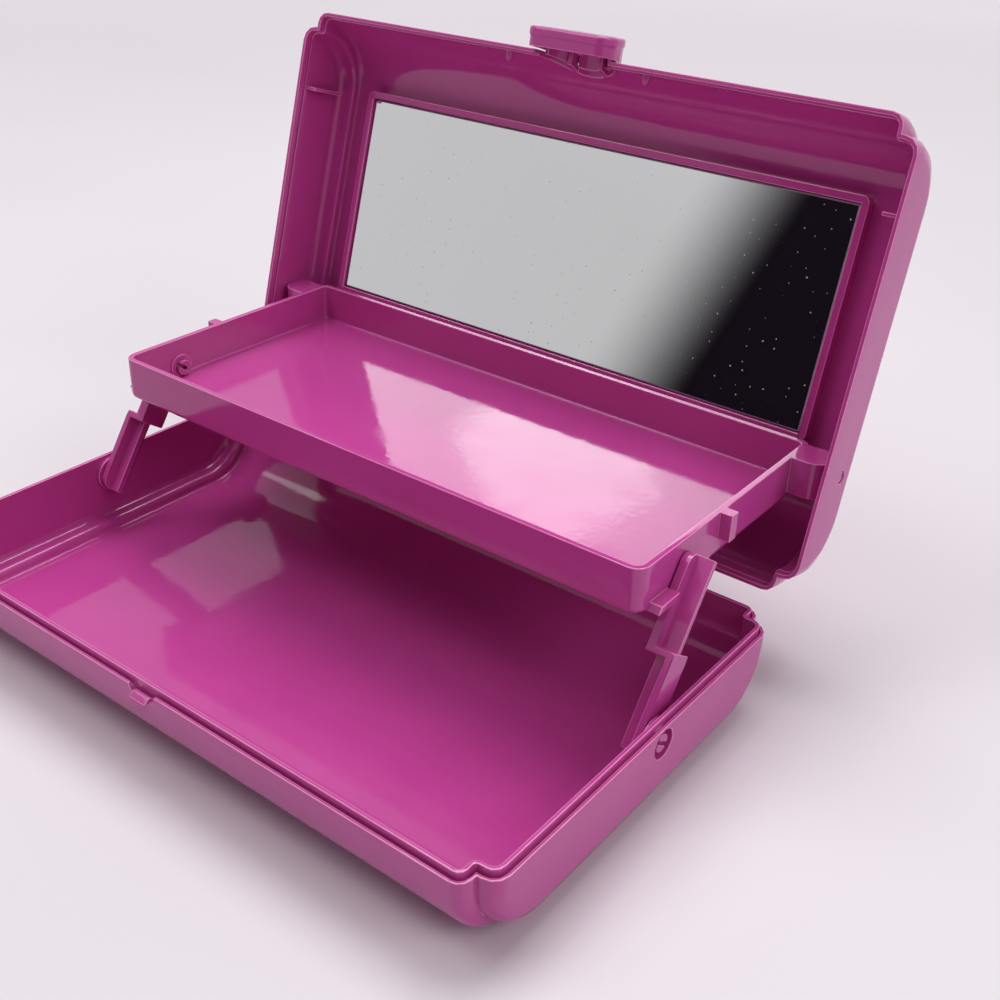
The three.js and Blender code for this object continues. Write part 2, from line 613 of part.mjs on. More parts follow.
// An ear at the tray's rear corner, with the stub pin that turns in the lid's end wall.
function trayEar() {
  const end = LID_INNER_X - EAR_GAP;
  const front = TRAY_PIVOT.y - EAR_FRONT;
  const rear = TRAY_PIVOT.y + EAR_REAR;
  const outline = new THREE.Shape();
  outline.moveTo(TRAY_HALF - SINK, front);
  outline.lineTo(end - EAR_ROUND, front);
  outline.absarc(end - EAR_ROUND, front + EAR_ROUND, EAR_ROUND, -Math.PI / 2, 0);
  outline.lineTo(end, rear);
  outline.lineTo(TRAY_HALF - SINK, rear);
  const stub = rodX(STUB_RADIUS, end - SINK, HALF_LENGTH - STUB_RECESS, TRAY_PIVOT.y, TRAY_PIVOT.z);
  return alongZ(outline, TRAY_TOP - EAR_HEIGHT, TRAY_TOP).add(stub);
}

// The rib high on the tray's side.
function trayRib() {
  const front = TRAY_FRONT + RIB_BEHIND_FRONT;
  return block(
    [TRAY_HALF - SINK, front, TRAY_TOP - RIB_HEIGHT],
    [TRAY_HALF + RIB_REACH, front + RIB_THICKNESS, TRAY_TOP],
  );
}

// The block low on the tray's side that the raised arm leans on.
function trayStop() {
  const low = TRAY_BOTTOM + STOP_RISE;
  const high = low + STOP_HEIGHT;
  const slope = OPEN_LINK.y / OPEN_LINK.z;
  const edge = (z) => ARM_TOP_PIVOT.y + (z - ARM_TOP_PIVOT.z) * slope
    - ARM_WIDTH / 2 / Math.sin(ARM_ANGLE) - STOP_GAP;
  const outline = polygon([
    [edge(low) - STOP_LENGTH, low],
    [edge(low), low],
    [edge(high), high],
    [edge(high) - STOP_LENGTH, high],
  ]);
  return alongX(outline, TRAY_HALF - TRAY_FLOOR_RADIUS, TRAY_HALF + STOP_REACH);
}

function tray(material) {
  const outerRear = { highLeft: TRAY_REAR_RADIUS, highRight: TRAY_REAR_RADIUS };
  const outline = roundedBox(-TRAY_HALF, TRAY_FRONT, TRAY_HALF, TRAY_REAR, TRAY_FRONT_RADIUS, outerRear);
  const inner = TRAY_HALF - TRAY_WALL;
  const innerRadius = TRAY_REAR_RADIUS - TRAY_WALL / 2;
  const innerRear = { highLeft: innerRadius, highRight: innerRadius };
  const inside = roundedBox(-inner, TRAY_FRONT + TRAY_WALL, inner, TRAY_REAR - TRAY_WALL,
    TRAY_FRONT_RADIUS - TRAY_WALL, innerRear);
  const spare = 2 * TRAY_FLOOR_RADIUS;
  const form = alongZ(outline, TRAY_BOTTOM, TRAY_TOP + spare, TRAY_FLOOR_RADIUS);
  const cavity = alongZ(inside, TRAY_BOTTOM + TRAY_FLOOR, TRAY_TOP + spare, TRAY_WALL / 2);
  const { y, z } = ARM_TOP_PIVOT;
  const boss = rodX(TRAY_BOSS_RADIUS, inner - TRAY_BOSS_HEIGHT, inner + SINK, y, z);
  const bore = rodX(PIN_RADIUS + PIN_CLEARANCE, inner - TRAY_WALL, TRAY_HALF + TRAY_WALL, y, z);
  const body = form
    .subtract(cavity)
    .add(bothSides(trayEar().add(trayRib()).add(trayStop()).subtract(cavity)))
    .intersect(layer(0, TRAY_TOP))
    .add(bothSides(boss))
    .subtract(bothSides(bore));
  return mesh('tray', body, material);
}

// The right support arm, drawn along +Y from its pivot in the base. Its lower half runs beside the base's
// wall and its upper half beside the tray, with a step between them and a stiffening fin along each half.
function supportArm() {
  const half = ARM_WIDTH / 2;
  const tip = ARM_LENGTH + ARM_OVERHANG;
  const stepLow = ARM_LENGTH * ARM_JOG - ARM_STEP / 2;
  const stepHigh = stepLow + ARM_STEP;
  const lowerTo = BASE_INNER_X - PIVOT_BOSS_HEIGHT - ARM_GAP;
  const lowerFrom = lowerTo - ARM_LOWER_WALL;
  const upperFrom = TRAY_HALF + ARM_GAP;
  const upperTo = upperFrom + ARM_UPPER_WALL;
  const lower = roundedBox(-ARM_OVERHANG, -half, stepHigh, half,
    ARM_CORNER_RADIUS, { highLeft: ARM_END_RADIUS });
  const upper = roundedBox(stepLow, -half, tip, half, ARM_CORNER_RADIUS, { highRight: ARM_END_RADIUS });
  const across = roundedBox(stepLow, -half, stepHigh, half, ARM_CORNER_RADIUS);
  const finHigh = half - ARM_FIN_SETBACK;
  const finLow = finHigh - ARM_FIN;
  const lowerFin = block([lowerFrom - ARM_LOWER_FIN, -ARM_OVERHANG, finLow], [lowerTo, stepHigh, finHigh]);
  const upperFin = block([upperFrom, stepLow, finLow], [upperTo + ARM_UPPER_FIN, tip, finHigh]);
  const basePinShoulder = HALF_LENGTH - PIVOT_RECESS_DEPTH + PIN_CLEARANCE;
  const basePin = splitPin(lowerTo - SINK, basePinShoulder, 0, 0);
  const trayPinShoulder = TRAY_HALF - TRAY_WALL - TRAY_BOSS_HEIGHT - PIN_CLEARANCE;
  const trayPin = splitPin(-upperFrom - SINK, -trayPinShoulder, ARM_LENGTH, 0).mirror([1, 0, 0]);
  return alongX(lower, lowerFrom, lowerTo)
    .add(alongX(upper, upperFrom, upperTo))
    .add(alongX(across, upperFrom, lowerTo))
    .add(lowerFin)
    .add(upperFin)
    .add(basePin)
    .add(trayPin);
}

// Outline of the latch: an arch round the cut-out on a straight lower edge.
function latchOutline(inset) {
  const half = LATCH_WIDTH / 2 - inset;
  const corner = Math.min(LATCH_CORNER, RIM_Z - LATCH_LOW) - inset;
  const low = LATCH_LOW + inset;
  const outline = new THREE.Shape();
  outline.moveTo(-half + corner, low);
  outline.lineTo(half - corner, low);
  outline.absarc(half - corner, low + corner, corner, -Math.PI / 2, 0);
  outline.absarc(0, RIM_Z, half, 0, Math.PI);
  outline.absarc(-half + corner, low + corner, corner, Math.PI, 1.5 * Math.PI);
  return outline;
}

// The form of the front walls, drawn in by an inset, as it lies to the latch that is swung out by an angle.
function wallsAtSwing(inset, swing) {
  return lidPillow(inset)
    .translate([0, -LATCH_PIN.y, -LATCH_PIN.z])
    .rotate([THREE.MathUtils.radToDeg(swing - LATCH_TILT), 0, 0])
    .translate([0, LATCH_PIN.y, LATCH_PIN.z]);
}

// The room that the front walls take up, seen from the latch, as it swings out.
function swingRoom() {
  return [0, LATCH_SWING / 2, LATCH_SWING]
    .map((swing) => wallsAtSwing(-LATCH_GAP, swing))
    .reduce((room, walls) => room.add(walls));
}

// The inner arch of the latch, which closes the cut-out round its edge and leaves the lugs free.
function latchCurtain(from, to) {
  const radius = CUTOUT_RADIUS - CURTAIN_MARGIN;
  const slot = block(
    [LUG_INNER - LUG_GAP, from - SINK, LATCH_PIN.z - LUG_RADIUS - LUG_GAP],
    [LUG_OUTER + LUG_GAP, to + SINK, RIM_Z + CUTOUT_RADIUS],
  );
  return archRod(radius, from, to)
    .subtract(archRod(radius - LATCH_WALL, from - SINK, to + SINK))
    .intersect(layer(RIM_Z + CURTAIN_RISE, CROWN_Z))
    .subtract(bothSides(slot))
    .subtract(wallsAtSwing(LID_WALL / 2, 0));
}

// The latch: a plate with a skirt over the cut-out, and cheeks that turn on the pin. The lower edge of the
// skirt hooks under the catch.
function latchButton(material) {
  const lipBack = LATCH_FACE + LATCH_LIP;
  const deep = -HALF_DEPTH + CROWN_RADIUS / 2;
  const plateBack = LATCH_FACE + LATCH_PLATE;
  const lip = alongY(latchOutline(0), LATCH_FACE, lipBack, LATCH_EDGE_ROUND, ARCH_STEPS);
  const skirt = alongY(latchOutline(LATCH_LIP_STEP), lipBack - SINK, deep, 0, ARCH_STEPS);
  const hollow = alongY(latchOutline(LATCH_LIP_STEP + LATCH_WALL), plateBack, deep + SINK, 0, ARCH_STEPS);
  const seat = alongY(latchOutline(INLAY_MARGIN - INLAY_GAP), LATCH_FACE - SINK,
    LATCH_FACE - INLAY_PROUD + INLAY_THICKNESS + INLAY_GAP, 0, ARCH_STEPS);
  const { y, z } = LATCH_PIN;
  const cheek = rodX(LUG_RADIUS, CHEEK_OUTER - LUG_THICKNESS, CHEEK_OUTER, y, z)
    .add(block(
      [CHEEK_OUTER - LUG_THICKNESS, plateBack - SINK / 2, z - LUG_RADIUS],
      [CHEEK_OUTER, y, z + LUG_RADIUS],
    ));
  const body = lip
    .add(skirt)
    .subtract(hollow)
    .subtract(seat)
    .add(bothSides(cheek))
    .subtract(swingRoom())
    .add(latchCurtain(plateBack - SINK / 2, deep))
    .subtract(latchBore());
  return mesh('latch_button', body, material);
}

function latchInlay(material) {
  const front = LATCH_FACE - INLAY_PROUD;
  const body = alongY(latchOutline(INLAY_MARGIN), front, front + INLAY_THICKNESS, 0, ARCH_STEPS);
  return mesh('latch_inlay', body, material);
}

function latchPin(material) {
  const body = rodX(LATCH_PIN_RADIUS, -LUG_OUTER, LUG_OUTER, LATCH_PIN.y, LATCH_PIN.z);
  return mesh('latch_pin', body, material);
}

function hingePin(name, side, material) {
  const reach = HINGE_LENGTH / 2 - HINGE_PIN_INSET;
  const middle = side * HINGE_CENTRE;
  return mesh(name, rodX(HINGE_PIN_RADIUS, middle - reach, middle + reach, HINGE.y, HINGE.z), material);
}

// A group that turns its meshes about an axis along X through a point, from the place they are drawn in.
function turnedAbout(point, angle, ...members) {
  const drawn = new THREE.Group();
  drawn.position.copy(point).negate();
  drawn.add(...members);
  const turned = new THREE.Group();
  turned.position.copy(point);
  turned.rotation.x = angle;
  turned.add(drawn);
  return turned;
}

// The arm drawn along +Y, set on its pivot and raised.
function raisedArm(name, body, material) {
  const arm = mesh(name, body, material);
  arm.position.copy(ARM_PIVOT);
  arm.rotation.x = ARM_ANGLE;
  return arm;
}

const plastic = new THREE.MeshStandardMaterial({ color: '#b23a8c', roughness: 0.25, metalness: 0 });
const silver = new THREE.MeshStandardMaterial({ color: '#dfe3e4', roughness: 0.03, metalness: 1 });
const foam = new THREE.MeshStandardMaterial({ color: '#e6e2da', roughness: 0.9, metalness: 0 });
const steel = new THREE.MeshStandardMaterial({ color: '#a9abae', roughness: 0.35, metalness: 1 });
const inlayPlastic = new THREE.MeshStandardMaterial({ color: '#8d2f74', roughness: 0.3, metalness: 0 });

const rightArm = supportArm();
const latch = turnedAbout(LATCH_PIN, LATCH_TILT, latchButton(plastic), latchInlay(inlayPlastic));
const lid = turnedAbout(HINGE, -OPEN_ANGLE,
  lidShell(plastic), mirrorGlass(silver), mirrorAdhesive(foam), latchPin(steel), latch);

const makeupCase = new THREE.Group();
makeupCase.add(
  baseShell(plastic),
  hingePin('hinge_pin_left', -1, steel),
  hingePin('hinge_pin_right', 1, steel),
  lid,
  tray(plastic),
  raisedArm('support_arm_right', rightArm, plastic),
  raisedArm('support_arm_left', rightArm.mirror([1, 0, 0]), plastic),
);

export default makeupCase;
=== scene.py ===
"""Looks of a makeup organizer case: glossy shells, a mirror in the lid, a tray on arms and a latch."""

import logging
import math
from abc import ABC, abstractmethod
from dataclasses import dataclass, field
from enum import Enum
from typing import Any

import bmesh
import bpy
from mathutils import Matrix, Vector
from mathutils.bvhtree import BVHTree


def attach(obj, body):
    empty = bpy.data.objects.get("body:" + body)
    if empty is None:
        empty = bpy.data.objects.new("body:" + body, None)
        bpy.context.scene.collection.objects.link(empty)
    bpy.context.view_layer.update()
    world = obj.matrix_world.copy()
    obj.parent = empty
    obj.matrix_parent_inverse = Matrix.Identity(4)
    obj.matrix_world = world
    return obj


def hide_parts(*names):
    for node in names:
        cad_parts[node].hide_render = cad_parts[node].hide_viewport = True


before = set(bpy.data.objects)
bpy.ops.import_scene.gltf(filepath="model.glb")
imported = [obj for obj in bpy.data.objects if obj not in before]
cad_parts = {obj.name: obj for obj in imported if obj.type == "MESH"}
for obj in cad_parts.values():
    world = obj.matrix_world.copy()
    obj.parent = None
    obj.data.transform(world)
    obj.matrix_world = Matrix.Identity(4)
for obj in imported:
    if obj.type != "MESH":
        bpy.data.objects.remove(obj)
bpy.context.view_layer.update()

log = logging.getLogger("makeup_case")

Colour = tuple[float, float, float]
Point = tuple[float, float, float]
Span = tuple[float, float]
Socket = bpy.types.NodeSocket

# Face attribute that marks the convex eased faces for a painted highlight: the plastic paints them a paler
# pink.
RIM_HIGHLIGHT_MARK = "rim_highlight_mark"
FADE_MARK = "fade_mark"
WHOLE: Span = (0.0, 1.0)
NOISE_MIDDLE: Span = (0.3, 0.7)


class Body(Enum):
    """The bodies of the case that move apart from each other."""

    BASE = "base"
    LID = "lid"
    TRAY = "tray"
    ARM_LEFT = "arm_left"
    ARM_RIGHT = "arm_right"
    LATCH = "latch"


class Slot(Enum):
    """The material slots of the case."""

    PLASTIC = "magenta_plastic"
    INLAY = "inlay_plastic"
    MIRROR = "mirror"
    TAPE = "tape"
    STEEL = "steel"


def opaque(colour: Any) -> Any:
    """Adds full cover to a plain colour, and leaves a socket as it is."""
    return colour if isinstance(colour, Socket) else (*colour, 1.0)


class NodeGraph:
    """A material's or world's node tree, with short ways to add and join nodes."""

    MIX_FACTOR = 0
    MIX_FIRST = 6
    MIX_SECOND = 7
    MIX_RESULT = 2

    def __init__(self, tree: bpy.types.NodeTree) -> None:
        """Empties a tree to build in."""
        self.tree = tree
        tree.nodes.clear()

    def add(self, kind: str, inputs: dict[str | int, Any] | None = None, **settings: Any) -> bpy.types.Node:
        """Adds one node.

        Args:
            kind: Blender's name of the node type.
            inputs: Values or output sockets by the input's name or number.
            **settings: Attributes of the node itself.

        Returns:
            The new node.
        """
        node = self.tree.nodes.new(kind)
        for name, value in settings.items():
            setattr(node, name, value)
        for key, value in (inputs or {}).items():
            if isinstance(value, Socket):
                self.tree.links.new(value, node.inputs[key])
            else:
                node.inputs[key].default_value = value
        return node

    def place(self) -> Socket:
        """Gives the coordinates on the piece itself, in metres."""
        return self.add("ShaderNodeTexCoord").outputs["Object"]

    def noise(self, place: Socket, scale: float, detail: float = 2.0) -> Socket:
        """Adds a noise pattern.

        Args:
            place: The coordinates that it reads.
            scale: Repeats in a metre.
            detail: Octaves.

        Returns:
            Its factor, about 0.5 on average.
        """
        node = self.add("ShaderNodeTexNoise", {"Vector": place, "Scale": scale, "Detail": detail})
        return node.outputs["Fac"]

    def spread(self, value: Socket, source: Span, result: Span = WHOLE) -> Socket:
        """Maps a value from one range to another, and stops it at the ends.

        Args:
            value: The socket that is mapped.
            source: The range that it has.
            result: The range that it gets.

        Returns:
            The mapped socket.
        """
        node = self.add("ShaderNodeMapRange", {
            "Value": value,
            "From Min": source[0],
            "From Max": source[1],
            "To Min": result[0],
            "To Max": result[1],
        })
        return node.outputs["Result"]

    def calculated(self, operation: str, *values: Any) -> Socket:
        """Combines sockets and numbers by an operation such as MULTIPLY or MAXIMUM."""
        return self.add("ShaderNodeMath", dict(enumerate(values)), operation=operation).outputs["Value"]

    def seen(self) -> Socket:
        """Tells the rays that show a surface from those that light one.

        Returns:
            1 for rays from the camera and for mirrored or refracted ones, 0 for the others.
        """
        path = self.add("ShaderNodeLightPath")
        shows = path.outputs["Is Camera Ray"]
        for kind in ("Is Glossy Ray", "Is Transmission Ray"):
            shows = self.calculated("MAXIMUM", shows, path.outputs[kind])
        return shows

    def mixed(self, factor: Socket, first: Any, second: Any) -> Socket:
        """Mixes two colours.

        Args:
            factor: Share of the second colour.
            first: A colour or a socket.
            second: A colour or a socket.

        Returns:
            The mixed colour.
        """
        node = self.add("ShaderNodeMix", {
            self.MIX_FACTOR: factor,
            self.MIX_FIRST: opaque(first),
            self.MIX_SECOND: opaque(second),
        }, data_type="RGBA")
        return node.outputs[self.MIX_RESULT]

    def blended(self, factor: Socket, first: Socket, second: Socket) -> Socket:
        """Blends two shaders, by the share of the second."""
        return self.add("ShaderNodeMixShader", {"Fac": factor, 1: first, 2: second}).outputs["Shader"]

    def principled(self, inputs: dict[str | int, Any]) -> Socket:
        """Adds the common surface shader."""
        return self.add("ShaderNodeBsdfPrincipled", inputs).outputs["BSDF"]


@dataclass(frozen=True)
class Finish(ABC):
    """A look of a surface, which becomes one material."""

    name: str

    @abstractmethod
    def surface(self, graph: NodeGraph) -> Socket:
        """Builds the nodes of the look and gives their shader."""

    def material(self) -> bpy.types.Material:
        """Makes the material.

        Returns:
            The material of this look.
        """
        material = bpy.data.materials.new(self.name)
        material.use_nodes = True
        graph = NodeGraph(material.node_tree)
        graph.add("ShaderNodeOutputMaterial", {"Surface": self.surface(graph)})
        return material


@dataclass(frozen=True)
class MouldedPlastic(Finish):
    """Glossy through-coloured plastic with flow shading, orange peel, hazy patches, and paler edges that
    are a painted highlight.
    """

    colour: Colour
    deep: Colour
    # Colour of the painted highlight on convex edges, standing in for the light that thin rims catch.
    edge: Colour
    flow_scale: float = 22.0
    # Noise that breaks the painted edge highlight into patches.
    highlight_patch_scale: float = 160.0
    highlight_patch_noise: Span = (0.25, 0.65)
    highlight_patch_share: Span = (0.75, 1.0)
    haze_scale: float = 70.0
    haze_noise: Span = (0.35, 0.7)
    gloss: Span = (0.05, 0.13)
    peel_scale: float = 420.0
    peel: float = 0.05
    peel_depth: float = 0.0004
    refraction: float = 1.5
    glow: float = 0.12
    glow_depth: float = 0.0025
    glow_radius: Colour = (1.0, 0.22, 0.6)

    def surface(self, graph: NodeGraph) -> Socket:
        """Builds the plastic.

        Args:
            graph: The graph to build in.

        Returns:
            Its shader.
        """
        place = graph.place()
        flow = graph.spread(graph.noise(place, self.flow_scale, detail=3.0), NOISE_MIDDLE)
        body = graph.mixed(flow, self.colour, self.deep)
        # Painted highlight: convex eased faces get the paler edge colour, broken into patches by noise.
        mark = graph.add("ShaderNodeAttribute", attribute_name=RIM_HIGHLIGHT_MARK).outputs["Fac"]
        highlight_patches = graph.spread(graph.noise(place, self.highlight_patch_scale), self.highlight_patch_noise, self.highlight_patch_share)
        peel = graph.add("ShaderNodeBump", {
            "Height": graph.noise(place, self.peel_scale, detail=1.0),
            "Strength": self.peel,
            "Distance": self.peel_depth,
        })
        haze = graph.noise(place, self.haze_scale, detail=4.0)
        return graph.principled({
            "Base Color": graph.mixed(graph.calculated("MULTIPLY", mark, highlight_patches), body, self.edge),
            "Roughness": graph.spread(haze, self.haze_noise, self.gloss),
            "Normal": peel.outputs["Normal"],
            "IOR": self.refraction,
            "Subsurface Weight": self.glow,
            "Subsurface Radius": self.glow_radius,
            "Subsurface Scale": self.glow_depth,
        })


@dataclass(frozen=True)
class SilveredGlass(Finish):
    """A silvered mirror face with settled dust and faint wiping marks."""

    silver: Colour
    dust: Colour
    speck_scale: float = 230.0
    speck_cells: Span = (0.5, 1.0)
    speck_reach: Span = (0.0, 0.06)
    wipe_scale: float = 45.0
    wipe_noise: Span = (0.45, 0.75)
    wiped: Span = (0.015, 0.045)
    dusty: float = 0.5
    upright: Point = (math.radians(-90), 0.0, 0.0)

    def surface(self, graph: NodeGraph) -> Socket:
        """Builds the mirror face, with a speck of dust in the larger half of the cells.

        Args:
            graph: The graph to build in.

        Returns:
            Its shader.
        """
        place = graph.place()
        face = graph.add("ShaderNodeMapping", {"Vector": place, "Rotation": self.upright})
        cells = graph.add("ShaderNodeTexVoronoi", {
            "Vector": face.outputs["Vector"],
            "Scale": self.speck_scale,
        }, voronoi_dimensions="2D")
        size = graph.add("ShaderNodeSeparateColor", {"Color": cells.outputs["Color"]})
        reach = graph.spread(size.outputs["Red"], self.speck_cells, self.speck_reach)
        speck = graph.calculated("LESS_THAN", cells.outputs["Distance"], reach)
        wipe = graph.spread(graph.noise(place, self.wipe_scale, detail=4.0), self.wipe_noise, self.wiped)
        return graph.principled({
            "Base Color": graph.mixed(speck, self.silver, self.dust),
            "Roughness": graph.calculated("MULTIPLY_ADD", speck, self.dusty, wipe),
            "Metallic": graph.calculated("SUBTRACT", 1.0, speck),
        })


@dataclass(frozen=True)
class GrainedSolid(Finish):
    """A plain solid with a grain of its own, such as drawn wire, foam or the ground edge of glass."""

    light: Colour
    dark: Colour
    grain: Point
    roughness: Span
    metallic: float = 0.0
    bump: float = 0.1
    bump_depth: float = 0.0001

    def surface(self, graph: NodeGraph) -> Socket:
        """Builds the grained solid.

        Args:
            graph: The graph to build in.

        Returns:
            Its shader.
        """
        stretched = graph.add("ShaderNodeMapping", {"Vector": graph.place(), "Scale": self.grain})
        grain = graph.noise(stretched.outputs["Vector"], scale=1.0, detail=3.0)
        bump = graph.add("ShaderNodeBump", {
            "Height": grain,
            "Strength": self.bump,
            "Distance": self.bump_depth,
        })
        return graph.principled({
            "Base Color": graph.mixed(graph.spread(grain, NOISE_MIDDLE), self.light, self.dark),
            "Roughness": graph.spread(grain, NOISE_MIDDLE, self.roughness),
            "Normal": bump.outputs["Normal"],
            "Metallic": self.metallic,
        })


@dataclass(frozen=True)
class PaleRoom:
    """The even pale surroundings, brighter behind and overhead than in front."""

    front: Colour = (0.56, 0.55, 0.56)
    rear: Colour = (0.80, 0.74, 0.79)
    front_light: Colour = (0.07, 0.068, 0.07)
    rear_light: Colour = (0.32, 0.312, 0.32)
    turn: Span = (-0.9, 0.5)
    rise: Span = (0.15, 0.85)

    def share(self, graph: NodeGraph, way: Socket) -> Socket:
        """Tells front from rear.

        Args:
            graph: The graph that asks.
            way: A direction of length 1.

        Returns:
            0 in front of the case, 1 behind it and overhead.
        """
        parts = graph.add("ShaderNodeSeparateXYZ", {"Vector": way})
        behind = graph.spread(parts.outputs["Y"], self.turn)
        overhead = graph.spread(parts.outputs["Z"], self.rise)
        return graph.calculated("MAXIMUM", behind, overhead)

    def shown(self, graph: NodeGraph, way: Socket) -> Socket:
        """Gives the colour that is seen or mirrored in a direction."""
        return graph.mixed(self.share(graph, way), self.front, self.rear)

    def lit(self, graph: NodeGraph, way: Socket) -> Socket:
        """Gives the light that comes from a direction."""
        return graph.mixed(self.share(graph, way), self.front_light, self.rear_light)

    def set_up(self) -> None:
        """Makes this room the world of the scene."""
        world = bpy.data.worlds.new("soft_room")
        bpy.context.scene.world = world
        world.use_nodes = True
        graph = NodeGraph(world.node_tree)
        way = graph.add("ShaderNodeTexCoord").outputs["Generated"]
        colour = graph.mixed(graph.seen(), self.lit(graph, way), self.shown(graph, way))
        background = graph.add("ShaderNodeBackground", {"Color": colour})
        graph.add("ShaderNodeOutputWorld", {"Surface": background.outputs["Background"]})


@dataclass(frozen=True)
class PalePaper(Finish):
    """The matt pale paper that the case stands on, which fades into the pale room far away."""

    light: Colour
    dark: Colour
    room: PaleRoom
    cloud_scale: float = 3.0
    roughness: float = 0.55
    shine: float = 0.25
    fade: Span = (0.5, 1.5)

    def surface(self, graph: NodeGraph) -> Socket:
        """Builds the paper.

        Args:
            graph: The graph to build in.

        Returns:
            Its shader.
        """
        place = graph.place()
        cloud = graph.spread(graph.noise(place, self.cloud_scale), NOISE_MIDDLE)
        paper = graph.principled({
            "Base Color": graph.mixed(cloud, self.light, self.dark),
            "Roughness": self.roughness,
            "Specular IOR Level": self.shine,
        })
        reach = graph.add("ShaderNodeVectorMath", {0: place}, operation="LENGTH").outputs["Value"]
        way = graph.add("ShaderNodeVectorMath", {0: place}, operation="NORMALIZE").outputs["Vector"]
        ground = graph.add("ShaderNodeEmission", {"Color": self.room.shown(graph, way)})
        far = graph.calculated("MULTIPLY", graph.spread(reach, self.fade), graph.seen())
        return graph.blended(far, paper, ground.outputs["Emission"])


@dataclass(frozen=True)
class FadingFelt(Finish):
    """Dark felt that thins out towards the edge where its mark falls to 0."""

    colour: Colour

    def surface(self, graph: NodeGraph) -> Socket:
        """Builds the felt.

        Args:
            graph: The graph to build in.

        Returns:
            Its shader.
        """
        mark = graph.add("ShaderNodeAttribute", attribute_name=FADE_MARK).outputs["Fac"]
        cover = graph.add("ShaderNodeMapRange", {"Value": mark}, interpolation_type="SMOOTHSTEP")
        clear = graph.add("ShaderNodeBsdfTransparent")
        felt = graph.add("ShaderNodeBsdfDiffuse", {"Color": opaque(self.colour)})
        return graph.blended(cover.outputs["Result"], clear.outputs["BSDF"], felt.outputs["BSDF"])


def mesh_of(shape: bmesh.types.BMesh, name: str) -> bpy.types.Mesh:
    """Turns a finished shape into a mesh, and frees it.

    Args:
        shape: The shape, which can't be used afterwards.
        name: The mesh's name.

    Returns:
        The new mesh.
    """
    mesh = bpy.data.meshes.new(name)
    shape.to_mesh(mesh)
    shape.free()
    return mesh


def link_object(name: str, data: Any) -> bpy.types.Object:
    """Puts a mesh, lamp or camera in the scene at the origin.

    Args:
        name: The object's name.
        data: What it holds. A mesh has its place in its vertices.

    Returns:
        The new object.
    """
    holder = bpy.data.objects.new(name, data)
    bpy.context.scene.collection.objects.link(holder)
    return holder


@dataclass
class EdgeRounding:
    """How the sharp edges of a moulded piece are eased."""

    radius: float = 0.00025
    segments: int = 2
    profile: float = 0.5
    sharper_than: float = math.radians(40)
    flat_within: float = math.radians(0.6)
    quad_skew: float = math.radians(80)
    merge: float = 2e-6
    stray_share: float = 0.6

    def applied(self, source: bpy.types.Mesh, name: str) -> bpy.types.Mesh:
        """Makes a copy of a solid with its edges eased, and marks the eased faces of convex edges for a
        painted highlight.

        Args:
            source: The solid's mesh, which stays as it is.
            name: Name of the new mesh.

        Returns:
            The new mesh.
        """
        shape = bmesh.new()
        shape.from_mesh(source)
        mark = shape.faces.layers.float.new(RIM_HIGHLIGHT_MARK)
        bmesh.ops.remove_doubles(shape, verts=shape.verts[:], dist=self.merge)
        bmesh.ops.join_triangles(
            shape, faces=shape.faces[:],
            angle_face_threshold=self.flat_within, angle_shape_threshold=self.quad_skew,
        )
        surface = BVHTree.FromBMesh(shape)
        sharp = [e for e in shape.edges if e.is_manifold and e.calc_face_angle() > self.sharper_than]
        eased = bmesh.ops.bevel(
            shape, geom=sharp, offset=self.radius, offset_type="OFFSET", segments=self.segments,
            profile=self.profile, affect="EDGES", material=-1, clamp_overlap=False,
        )
        log.info("%s: %d stray corners drawn back", name, self.draw_back(shape, surface))
        # Marks the eased faces of convex edges with 1; the plastic paints them as a paler highlight.
        for face in eased["faces"]:
            bend = sum(edge.calc_face_angle_signed(0.0) for edge in face.edges)
            face[mark] = 1.0 if bend > 0.0 else 0.0
        self.shade(shape)
        return mesh_of(shape, name)

    def draw_back(self, shape: bmesh.types.BMesh, surface: BVHTree) -> int:
        """Draws the corners that the bevel threw off the solid back to its surface.

        Args:
            shape: The eased shape.
            surface: The solid's surface.

        Returns:
            How many corners were drawn back.
        """
        stray = 0
        for vert in shape.verts:
            near, _, _, gap = surface.find_nearest(vert.co)
            if gap > self.radius * self.stray_share:
                vert.co = near
                stray += 1
        return stray

    def shade(self, shape: bmesh.types.BMesh) -> None:
        """Shades a shape smoothly but for its sharp edges.

        Args:
            shape: The eased shape.
        """
        for face in shape.faces:
            face.smooth = True
        for edge in shape.edges:
            edge.smooth = not edge.is_manifold or edge.calc_face_angle() < self.sharper_than


class Piece:
    """Ways that every sub-assembly uses to put its pieces on their bodies."""

    NORMAL_WEIGHT = 60

    @staticmethod
    def settle(piece: bpy.types.Object, body: Body, slot: Slot, *nodes: str) -> None:
        """Sets a piece on its body in place of its solids.

        Args:
            piece: The dressed piece.
            body: The body that it moves with.
            slot: The material slot of its finish. Not used.
            *nodes: The solids that it stands for.
        """
        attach(piece, body.value)
        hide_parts(*nodes)
        log.info("%s rides on %s: %d faces", piece.name, body.value, len(piece.data.polygons))

    @classmethod
    def eased(cls, node: str, name: str, rounding: EdgeRounding,
              finish: bpy.types.Material) -> bpy.types.Object:
        """Makes an eased and dressed copy of a solid.

        Args:
            node: The solid's name.
            name: The piece's name.
            rounding: How its edges are eased.
            finish: Its material.

        Returns:
            The new object, not yet on a body.
        """
        mesh = rounding.applied(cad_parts[node].data, name)
        mesh.materials.clear()
        mesh.materials.append(finish)
        piece = link_object(name, mesh)
        weighted = piece.modifiers.new("face_normals", "WEIGHTED_NORMAL")
        weighted.keep_sharp = True
        weighted.weight = cls.NORMAL_WEIGHT
        return piece


